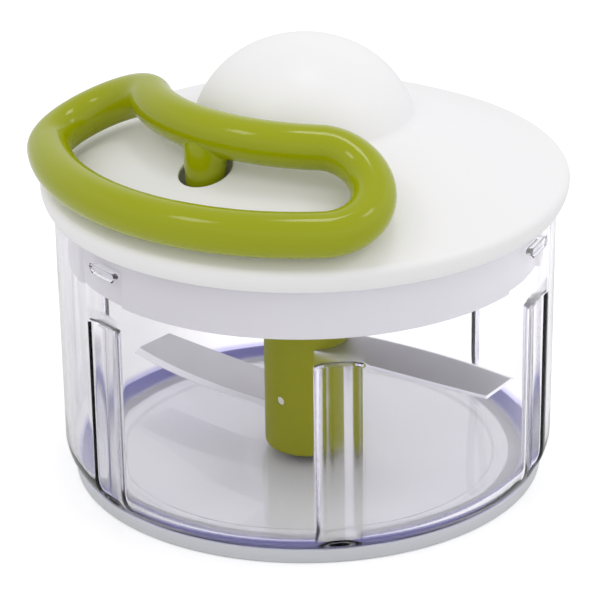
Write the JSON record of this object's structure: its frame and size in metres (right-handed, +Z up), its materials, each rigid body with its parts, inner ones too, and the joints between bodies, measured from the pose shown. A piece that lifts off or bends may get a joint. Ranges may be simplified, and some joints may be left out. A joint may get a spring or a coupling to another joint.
{
  "type": "pull-cord food chopper",
  "caption": "Hand food chopper: clear round bowl, white domed lid with a green pull handle on a spring-wound cord, and flat steel blades on a green hub.",
  "frame": {"origin": "centre of the flat underside of the base pad", "axes": "+Z up along the bowl's and the blades' common axis, front of the object towards -Y, +X to the right seen from the front"},
  "size_m": [0.1565, 0.1568, 0.1326],
  "materials": {
    "clear_bowl": "clear moulded plastic, polished",
    "soft_pad": "milky soft plastic, satin",
    "steel": "turned",
    "green_plastic": "moulded, gloss",
    "bush_plastic": "moulded",
    "pale_pin": "moulded",
    "blade_steel": "ground and polished",
    "white_plastic": "moulded, satin gloss",
    "reel_plastic": "moulded",
    "spring_steel": "blued strip",
    "cord": "braided"
  },
  "bodies": {
    "bowl": {"bowl": "clear_bowl", "base_pad": "soft_pad", "bowl_pivot_pin": "steel"},
    "blades": {"blade_hub": "green_plastic", "hub_bearing_bush": "bush_plastic", "hub_cross_pin": "pale_pin", "lower_blade": "blade_steel", "upper_blade": "blade_steel"},
    "lid": {"lid_shell": "white_plastic", "inner_cover": "white_plastic", "lid_screws": "steel", "cord_eyelet": "steel", "reel_axle": "steel", "axle_washer": "steel", "axle_screw": "steel", "spring_arbor": "reel_plastic", "recoil_spring": "spring_steel", "cord_run": "cord"},
    "reel": {"cord_drum": "reel_plastic", "spring_cover": "reel_plastic", "drive_coupler": "reel_plastic", "coupler_screws": "steel", "cord_winding": "cord"},
    "handle": {"pull_handle": "green_plastic", "stem_plug": "green_plastic", "cord_knot": "cord", "cord_lead": "cord"}
  },
  "joints": [
    {"name": "lid_lift", "type": "slide", "parent": "bowl", "child": "lid", "axis": [0, 0, 1], "range_m": [0, 0.12]},
    {"name": "blade_spin", "type": "hinge", "parent": "bowl", "child": "blades", "pos_m": [0, 0, 0.02], "axis": [0, 0, 1], "range_deg": [0, 940]},
    {"name": "handle_pull", "type": "slide", "parent": "lid", "child": "handle", "axis": [0, 0, 1], "range_m": [0, 0.3], "stiffness_N_per_m": 15, "springref_m": -0.3, "deforming": ["cord_lead"]},
    {"name": "reel_spin", "type": "hinge", "parent": "lid", "child": "reel", "pos_m": [0, 0, 0.08], "axis": [0, 0, 1], "range_deg": [0, 940], "deforming": ["recoil_spring"]}
  ],
  "couplings": [
    {"joint": "reel_spin", "follows": "handle_pull", "rad_per_m": 54.054},
    {"joint": "blade_spin", "follows": "handle_pull", "rad_per_m": 54.054}
  ]
}
